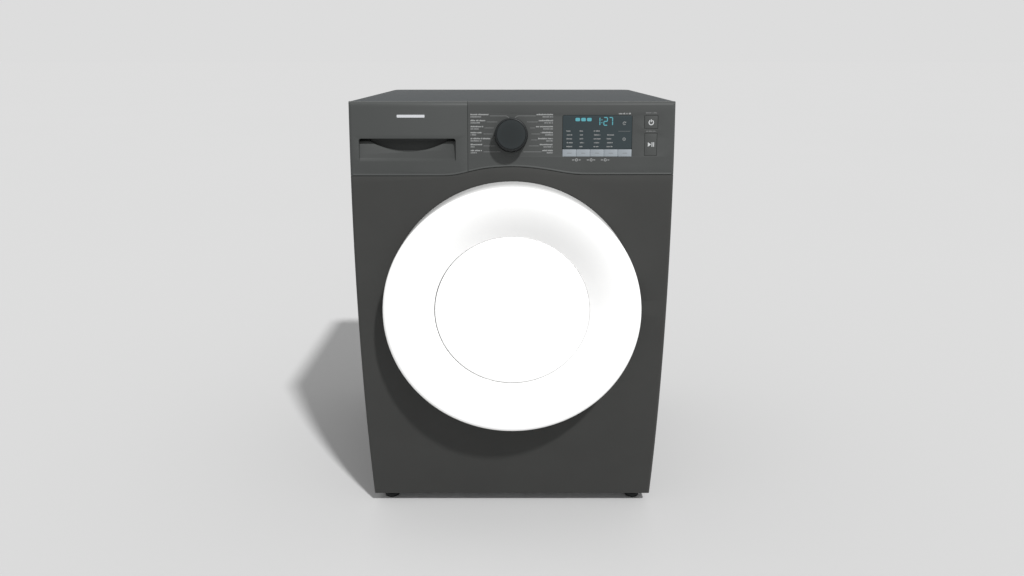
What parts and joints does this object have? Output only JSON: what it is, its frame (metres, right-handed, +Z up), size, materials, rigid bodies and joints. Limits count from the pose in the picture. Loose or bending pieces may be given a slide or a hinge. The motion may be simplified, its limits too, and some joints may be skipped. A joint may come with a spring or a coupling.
{
  "type": "front load washing machine",
  "caption": "front-loading washing machine, bowed grey cabinet with round white door, detergent drawer, dial and display, sprung tub and belt-driven drum inside",
  "frame": {"origin": "on the floor under the middle of the bounding box", "axes": "+Z up, the door and control panel face -Y, +X to the right of someone facing the machine"},
  "size_m": [0.6, 0.676, 0.85],
  "materials": {
    "cabinet_paint": "satin dark grey paint",
    "panel_moulding": "satin dark grey moulding",
    "top_paint": "satin grey laminate",
    "door_white": "gloss white",
    "knob_black": "satin near-black",
    "key_silver": "silver lacquer",
    "window_dark": "dark polished window",
    "door_glass": "clear glass",
    "stainless": "brushed stainless steel",
    "galvanised": "galvanised sheet",
    "grey_plastic": "grey moulding",
    "tub_plastic": "off-white filled polypropylene",
    "seal_rubber": "grey rubber",
    "black_rubber": "black rubber",
    "concrete": "cast concrete",
    "cast_metal": "cast aluminium"
  },
  "bodies": {
    "cabinet": {"base_tray": "galvanised", "left_side_panel": "cabinet_paint", "right_side_panel": "cabinet_paint", "rear_panel": "galvanised", "rear_service_cover": "galvanised", "front_panel": "cabinet_paint", "top_cover": "top_paint", "control_fascia": "panel_moulding", "display_window": "window_dark", "control_board": "grey_plastic", "dispenser_housing": "tub_plastic", "inlet_valve": "tub_plastic", "inlet_hose": "black_rubber", "mains_gland": "knob_black", "drain_outlet": "knob_black", "drain_hose": "black_rubber", "drain_pump": "grey_plastic", "hinge_bracket": "galvanised", "door_lock": "knob_black", "damper_cylinder_left": "grey_plastic", "damper_cylinder_right": "grey_plastic", "door_gasket": "seal_rubber", "tub_spring_left": "stainless", "tub_spring_right": "stainless", "sump_hose": "seal_rubber"},
    "tub": {"tub_front": "tub_plastic", "tub_rear": "tub_plastic", "front_counterweight": "concrete", "top_counterweight": "concrete", "drive_motor": "cast_metal", "drive_belt": "black_rubber", "damper_rod_left": "galvanised", "damper_rod_right": "galvanised"},
    "drum": {"drum_shell": "stainless", "drum_lifter_1": "grey_plastic", "drum_lifter_2": "grey_plastic", "drum_lifter_3": "grey_plastic", "drum_spider": "cast_metal", "drum_shaft": "stainless", "drum_pulley": "cast_metal"},
    "motor_rotor": {"motor_rotor": "stainless"},
    "door": {"door_outer_ring": "door_white", "door_window_cover": "door_white", "door_inner_ring": "grey_plastic", "door_glass": "door_glass"},
    "latch": {"latch_hook": "galvanised"},
    "detergent_drawer": {"drawer_front": "panel_moulding", "drawer_tray": "grey_plastic"},
    "program_knob": {"program_knob": "knob_black"},
    "power_button": {"power_button": "panel_moulding"},
    "start_button": {"start_button": "panel_moulding"},
    "option_button_1": {"option_button_1": "key_silver"},
    "option_button_2": {"option_button_2": "key_silver"},
    "option_button_3": {"option_button_3": "key_silver"},
    "option_button_4": {"option_button_4": "key_silver"},
    "option_button_5": {"option_button_5": "key_silver"},
    "foot_front_left": {"foot_front_left": "knob_black"},
    "foot_front_right": {"foot_front_right": "knob_black"},
    "foot_rear_left": {"foot_rear_left": "knob_black"},
    "foot_rear_right": {"foot_rear_right": "knob_black"}
  },
  "joints": [
    {"name": "tub_bounce", "type": "slide", "parent": "cabinet", "child": "tub", "axis": [0, 0, 1], "range_m": [-0.01, 0.01], "stiffness_N_per_m": 20000, "springref_m": 0.01879, "deforming": ["door_gasket", "tub_spring_left", "tub_spring_right", "sump_hose"]},
    {"name": "drum_spin", "type": "hinge", "parent": "tub", "child": "drum", "pos_m": [0, 0.2, 0.466], "axis": [0, 1, 0], "continuous": true},
    {"name": "motor_spin", "type": "hinge", "parent": "tub", "child": "motor_rotor", "pos_m": [0.04, 0.2, 0.138], "axis": [0, 1, 0], "continuous": true},
    {"name": "door_hinge", "type": "hinge", "parent": "cabinet", "child": "door", "pos_m": [-0.23, -0.318, 0.466], "axis": [0, 0, -1], "range_deg": [0, 140]},
    {"name": "latch_pivot", "type": "hinge", "parent": "door", "child": "latch", "pos_m": [0.197, -0.2887, 0.466], "axis": [0, 0, 1], "range_deg": [-2, 5], "stiffness_Nm_per_rad": 0.5},
    {"name": "drawer_slide", "type": "slide", "parent": "cabinet", "child": "detergent_drawer", "axis": [0, -1, 0], "range_m": [0, 0.2]},
    {"name": "knob_turn", "type": "hinge", "parent": "cabinet", "child": "program_knob", "pos_m": [-0.0014, -0.25053, 0.7905], "axis": [0, -0.984, 0.1783], "continuous": true},
    {"name": "power_press", "type": "slide", "parent": "cabinet", "child": "power_button", "axis": [0, 0.982, -0.1889], "range_m": [0, 0.001], "stiffness_N_per_m": 600},
    {"name": "start_press", "type": "slide", "parent": "cabinet", "child": "start_button", "axis": [0, 0.9853, -0.171], "range_m": [0, 0.001], "stiffness_N_per_m": 600},
    {"name": "option_1_press", "type": "slide", "parent": "cabinet", "child": "option_button_1", "axis": [0, 0.9864, -0.1641], "range_m": [0, 0.001], "stiffness_N_per_m": 600},
    {"name": "option_2_press", "type": "slide", "parent": "cabinet", "child": "option_button_2", "axis": [0, 0.9864, -0.1641], "range_m": [0, 0.001], "stiffness_N_per_m": 600},
    {"name": "option_3_press", "type": "slide", "parent": "cabinet", "child": "option_button_3", "axis": [0, 0.9864, -0.1641], "range_m": [0, 0.001], "stiffness_N_per_m": 600},
    {"name": "option_4_press", "type": "slide", "parent": "cabinet", "child": "option_button_4", "axis": [0, 0.9864, -0.1641], "range_m": [0, 0.001], "stiffness_N_per_m": 600},
    {"name": "option_5_press", "type": "slide", "parent": "cabinet", "child": "option_button_5", "axis": [0, 0.9864, -0.1641], "range_m": [0, 0.001], "stiffness_N_per_m": 600},
    {"name": "foot_front_left_level", "type": "slide", "parent": "cabinet", "child": "foot_front_left", "axis": [0, 0, -1], "range_m": [0, 0.01]},
    {"name": "foot_front_right_level", "type": "slide", "parent": "cabinet", "child": "foot_front_right", "axis": [0, 0, -1], "range_m": [0, 0.01]},
    {"name": "foot_rear_left_level", "type": "slide", "parent": "cabinet", "child": "foot_rear_left", "axis": [0, 0, -1], "range_m": [0, 0.01]},
    {"name": "foot_rear_right_level", "type": "slide", "parent": "cabinet", "child": "foot_rear_right", "axis": [0, 0, -1], "range_m": [0, 0.01]}
  ],
  "couplings": [
    {"joint": "motor_spin", "follows": "drum_spin", "ratio": 11.667}
  ]
}
